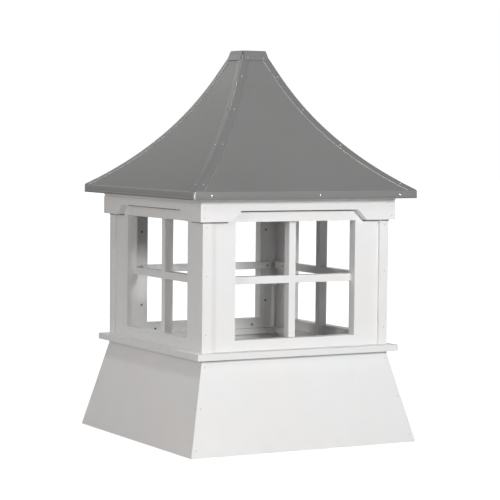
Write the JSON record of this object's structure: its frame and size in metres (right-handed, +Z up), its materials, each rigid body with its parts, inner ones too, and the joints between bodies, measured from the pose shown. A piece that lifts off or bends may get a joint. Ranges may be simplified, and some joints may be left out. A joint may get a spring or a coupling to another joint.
{
  "type": "barn cupola",
  "caption": "Square roof cupola: flared boarded base, sill, open four-lite windows, shaped header boards and a concave four-sided sheet-metal roof with hip caps and a flat top cap.",
  "frame": {"origin": "middle of the underside of the flared base", "axes": "+Z up along the vertical axis of symmetry; the front side faces -Y"},
  "size_m": [0.762, 0.762, 1.177],
  "materials": {
    "white_board": "satin white cellular PVC board",
    "roof_sheet": "satin grey coated sheet"
  },
  "bodies": {
    "root": {"base_cleat_back": "white_board", "base_cleat_front": "white_board", "base_cleat_left": "white_board", "base_cleat_right": "white_board", "base_panel_back": "white_board", "base_panel_front": "white_board", "base_panel_left": "white_board", "base_panel_right": "white_board", "corner_board_back_left": "white_board", "corner_board_back_right": "white_board", "corner_board_front_left": "white_board", "corner_board_front_right": "white_board", "header_back": "white_board", "header_front": "white_board", "header_left": "white_board", "header_right": "white_board", "hip_cap_back_left": "roof_sheet", "hip_cap_back_right": "roof_sheet", "hip_cap_front_left": "roof_sheet", "hip_cap_front_right": "roof_sheet", "roof_panel_back": "roof_sheet", "roof_panel_front": "roof_sheet", "roof_panel_left": "roof_sheet", "roof_panel_right": "roof_sheet", "roof_plate": "white_board", "sill_back": "white_board", "sill_front": "white_board", "sill_left": "white_board", "sill_right": "white_board", "soffit_board": "white_board", "top_cap": "roof_sheet", "wall_board_back": "white_board", "wall_board_front": "white_board", "wall_board_left": "white_board", "wall_board_right": "white_board", "window_bars_back": "white_board", "window_bars_front": "white_board", "window_bars_left": "white_board", "window_bars_right": "white_board", "window_liner_back": "white_board", "window_liner_front": "white_board", "window_liner_left": "white_board", "window_liner_right": "white_board"}
  },
  "joints": []
}
